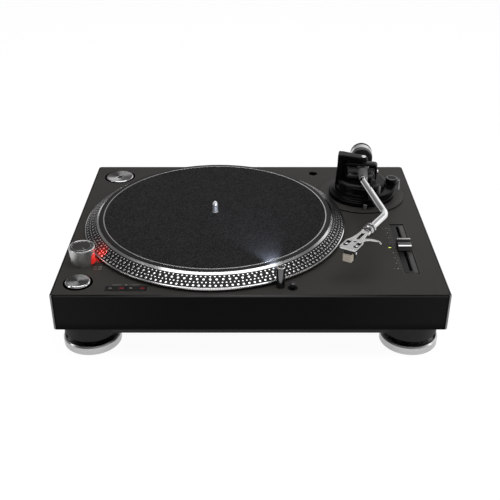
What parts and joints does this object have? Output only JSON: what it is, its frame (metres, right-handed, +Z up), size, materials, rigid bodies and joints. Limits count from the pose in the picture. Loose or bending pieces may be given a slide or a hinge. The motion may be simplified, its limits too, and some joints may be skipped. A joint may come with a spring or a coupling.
{
  "type": "turntable",
  "caption": "Direct-drive turntable for records: dark cabinet on damped screw feet, strobe-marked platter, S-shaped tonearm on a height-adjustable base, and a speed fader.",
  "frame": {"origin": "on the table under the middle of the cabinet", "axes": "+Z up, +X to the right and -Y towards the user who faces the controls; the cabinet is longest along X"},
  "size_m": [0.453, 0.353, 0.145],
  "materials": {
    "case_dark": "matte",
    "case_black": "matte",
    "steel_screw": "satin",
    "steel_plate": "satin",
    "bearing_brass": "satin",
    "board_green": "matte",
    "inlet_black": "matte",
    "jack_metal": "polished",
    "bright_metal": "polished",
    "satin_silver": "satin",
    "lens_red": "gloss",
    "control_black": "satin",
    "fader_trim": "satin",
    "lamp_metal": "gloss",
    "base_black": "gloss",
    "rest_black": "satin",
    "lever_silver": "satin",
    "block_dark": "gloss",
    "tube_chrome": "polished",
    "weight_bright": "polished",
    "shell_silver": "satin",
    "cartridge_black": "satin",
    "stylus_cream": "satin",
    "rubber_black": "matte",
    "mat_felt": "matte",
    "magnet_dark": "matte"
  },
  "bodies": {
    "chassis": {"top_case": "case_dark", "bottom_case": "case_black", "case_screws": "steel_screw", "motor_stator": "steel_plate", "spindle_bearing": "bearing_brass", "main_board": "board_green", "power_supply": "board_green", "rear_panel": "case_black", "mains_inlet": "inlet_black", "output_jacks": "jack_metal", "ground_screw": "bright_metal", "usb_socket": "bright_metal", "strobe_tower": "satin_silver", "strobe_window": "lens_red", "fader_plate": "fader_trim", "fader_pot": "case_black", "arm_base_ring": "base_black", "foot_dampers": "rubber_black"},
    "platter": {"platter": "satin_silver", "spindle": "bright_metal", "rotor_magnet": "magnet_dark"},
    "mat": {"platter_mat": "mat_felt"},
    "start_button": {"start_button": "satin_silver"},
    "button_33": {"speed_button_33": "control_black"},
    "button_45": {"speed_button_45": "control_black"},
    "light_button": {"light_button": "control_black"},
    "power_dial": {"power_dial": "control_black"},
    "line_switch": {"line_switch": "case_black"},
    "stylus_light": {"stylus_light": "lamp_metal"},
    "tempo_fader": {"fader_knob": "control_black"},
    "adapter": {"adapter_45": "satin_silver"},
    "height_ring": {"height_ring": "base_black"},
    "arm_base": {"arm_pedestal": "base_black", "gimbal_bridge": "base_black", "top_pivot_screw": "bright_metal", "arm_rest": "rest_black"},
    "arm_clip": {"arm_clip": "rest_black"},
    "gimbal": {"gimbal_ring": "base_black", "side_pivot_screws": "bright_metal"},
    "arm": {"pivot_block": "block_dark", "arm_tube": "tube_chrome"},
    "pressure_dial": {"pressure_dial": "control_black"},
    "counterweight": {"counterweight": "weight_bright"},
    "collar": {"shell_collar": "tube_chrome"},
    "headshell": {"headshell": "shell_silver", "cartridge": "cartridge_black", "cartridge_screws": "bright_metal"},
    "stylus": {"stylus": "stylus_cream"},
    "cue_lever": {"cue_lever": "lever_silver"},
    "lift_bar": {"lift_bar": "rest_black"},
    "antiskate_dial": {"antiskate_dial": "control_black"},
    "height_lock": {"height_lock": "lever_silver"},
    "foot_front_left": {"foot_pad_front_left": "rubber_black"},
    "foot_ring_front_left": {"foot_ring_front_left": "satin_silver"},
    "foot_front_right": {"foot_pad_front_right": "rubber_black"},
    "foot_ring_front_right": {"foot_ring_front_right": "satin_silver"},
    "foot_back_left": {"foot_pad_back_left": "rubber_black"},
    "foot_ring_back_left": {"foot_ring_back_left": "satin_silver"},
    "foot_back_right": {"foot_pad_back_right": "rubber_black"},
    "foot_ring_back_right": {"foot_ring_back_right": "satin_silver"}
  },
  "joints": [
    {"name": "platter_spin", "type": "hinge", "parent": "chassis", "child": "platter", "pos_m": [-0.0456, -0.004, 0.097], "axis": [0, 0, 1], "continuous": true},
    {"name": "mat_slip", "type": "hinge", "parent": "platter", "child": "mat", "pos_m": [-0.0456, -0.004, 0.103], "axis": [0, 0, 1], "continuous": true},
    {"name": "start_press", "type": "slide", "parent": "chassis", "child": "start_button", "axis": [0, 0, -1], "range_m": [0, 0.0015], "stiffness_N_per_m": 400, "springref_m": -0.001},
    {"name": "speed_33_press", "type": "slide", "parent": "chassis", "child": "button_33", "axis": [0, 0, -1], "range_m": [0, 0.001], "stiffness_N_per_m": 400, "springref_m": -0.001},
    {"name": "speed_45_press", "type": "slide", "parent": "chassis", "child": "button_45", "axis": [0, 0, -1], "range_m": [0, 0.001], "stiffness_N_per_m": 400, "springref_m": -0.001},
    {"name": "light_press", "type": "slide", "parent": "chassis", "child": "light_button", "axis": [0, 0, -1], "range_m": [0, 0.0015], "stiffness_N_per_m": 400, "springref_m": -0.001},
    {"name": "power_turn", "type": "hinge", "parent": "chassis", "child": "power_dial", "pos_m": [-0.2003, -0.1032, 0.109], "axis": [0, 0, -1], "range_deg": [0, 40]},
    {"name": "line_switch_slide", "type": "slide", "parent": "chassis", "child": "line_switch", "axis": [1, 0, 0], "range_m": [0, 0.004]},
    {"name": "light_rise", "type": "slide", "parent": "chassis", "child": "stylus_light", "axis": [0, 0, 1], "range_m": [-0.0245, 0], "stiffness_N_per_m": 20, "springref_m": 0.01},
    {"name": "tempo_slide", "type": "slide", "parent": "chassis", "child": "tempo_fader", "axis": [0, 1, 0], "range_m": [-0.05, 0.05]},
    {"name": "adapter_lift", "type": "slide", "parent": "chassis", "child": "adapter", "axis": [0, 0, 1], "range_m": [0, 0.02]},
    {"name": "height_turn", "type": "hinge", "parent": "chassis", "child": "height_ring", "pos_m": [0.154, 0.081, 0.094], "axis": [0, 0, 1], "range_deg": [0, 300]},
    {"name": "height_rise", "type": "slide", "parent": "chassis", "child": "arm_base", "axis": [0, 0, 1], "range_m": [0, 0.006]},
    {"name": "arm_swing", "type": "hinge", "parent": "arm_base", "child": "gimbal", "pos_m": [0.154, 0.081, 0.1235], "axis": [0, 0, -1], "range_deg": [0, 43]},
    {"name": "arm_tilt", "type": "hinge", "parent": "gimbal", "child": "arm", "pos_m": [0.154, 0.081, 0.1235], "axis": [-0.9839, 0.1788, 0], "range_deg": [-1.75, 9]},
    {"name": "weight_travel", "type": "slide", "parent": "arm", "child": "pressure_dial", "axis": [-0.092, -0.9934, 0.0679], "range_m": [-0.006, 0.003]},
    {"name": "weight_turn", "type": "hinge", "parent": "pressure_dial", "child": "counterweight", "pos_m": [0.1598, 0.14359, 0.11922], "axis": [-0.092, -0.9934, 0.0679], "range_deg": [-720, 360]},
    {"name": "collar_turn", "type": "hinge", "parent": "arm", "child": "collar", "pos_m": [0.14033, -0.09749, 0.12816], "axis": [0.5195, 0.8541, -0.0244], "range_deg": [0, 90]},
    {"name": "shell_pull", "type": "slide", "parent": "arm", "child": "headshell", "axis": [-0.5195, -0.8541, 0.0244], "range_m": [0, 0.014]},
    {"name": "stylus_pull", "type": "slide", "parent": "headshell", "child": "stylus", "axis": [-0.5195, -0.8541, 0.0244], "range_m": [0, 0.012]},
    {"name": "cue_turn", "type": "hinge", "parent": "arm_base", "child": "cue_lever", "pos_m": [0.20283, 0.09245, 0.1018], "axis": [-0.9839, 0.1788, 0], "range_deg": [0, 60]},
    {"name": "lift_rise", "type": "slide", "parent": "arm_base", "child": "lift_bar", "axis": [0, 0, 1], "range_m": [0, 0.0015]},
    {"name": "clip_turn", "type": "hinge", "parent": "arm_base", "child": "arm_clip", "pos_m": [0.16119, 0.03497, 0.1296], "axis": [-0.1788, -0.9839, 0], "range_deg": [0, 72]},
    {"name": "antiskate_turn", "type": "hinge", "parent": "arm_base", "child": "antiskate_dial", "pos_m": [0.19528, 0.08275, 0.107], "axis": [0, 0, 1], "range_deg": [0, 270]},
    {"name": "lock_turn", "type": "hinge", "parent": "chassis", "child": "height_lock", "pos_m": [0.15358, 0.03229, 0.0916], "axis": [0.1788, 0.9839, 0], "range_deg": [0, 60]},
    {"name": "foot_rise_front_left", "type": "slide", "parent": "chassis", "child": "foot_front_left", "axis": [0, 0, -1], "range_m": [0, 0.006]},
    {"name": "foot_turn_front_left", "type": "hinge", "parent": "foot_front_left", "child": "foot_ring_front_left", "pos_m": [-0.1903, -0.1395, 0.006], "axis": [0, 0, 1], "range_deg": [0, 1080]},
    {"name": "foot_rise_front_right", "type": "slide", "parent": "chassis", "child": "foot_front_right", "axis": [0, 0, -1], "range_m": [0, 0.006]},
    {"name": "foot_turn_front_right", "type": "hinge", "parent": "foot_front_right", "child": "foot_ring_front_right", "pos_m": [0.1903, -0.1395, 0.006], "axis": [0, 0, 1], "range_deg": [0, 1080]},
    {"name": "foot_rise_back_left", "type": "slide", "parent": "chassis", "child": "foot_back_left", "axis": [0, 0, -1], "range_m": [0, 0.006]},
    {"name": "foot_turn_back_left", "type": "hinge", "parent": "foot_back_left", "child": "foot_ring_back_left", "pos_m": [-0.1903, 0.1395, 0.006], "axis": [0, 0, 1], "range_deg": [0, 1080]},
    {"name": "foot_rise_back_right", "type": "slide", "parent": "chassis", "child": "foot_back_right", "axis": [0, 0, -1], "range_m": [0, 0.006]},
    {"name": "foot_turn_back_right", "type": "hinge", "parent": "foot_back_right", "child": "foot_ring_back_right", "pos_m": [0.1903, 0.1395, 0.006], "axis": [0, 0, 1], "range_deg": [0, 1080]}
  ],
  "couplings": [
    {"joint": "height_rise", "follows": "height_turn", "m_per_rad": 0.0011459},
    {"joint": "weight_travel", "follows": "weight_turn", "m_per_rad": 0.00047746},
    {"joint": "lift_rise", "follows": "cue_turn", "m_per_rad": 0.0014324},
    {"joint": "foot_rise_front_left", "follows": "foot_turn_front_left", "m_per_rad": 0.00031831},
    {"joint": "foot_rise_front_right", "follows": "foot_turn_front_right", "m_per_rad": 0.00031831},
    {"joint": "foot_rise_back_left", "follows": "foot_turn_back_left", "m_per_rad": 0.00031831},
    {"joint": "foot_rise_back_right", "follows": "foot_turn_back_right", "m_per_rad": 0.00031831}
  ]
}
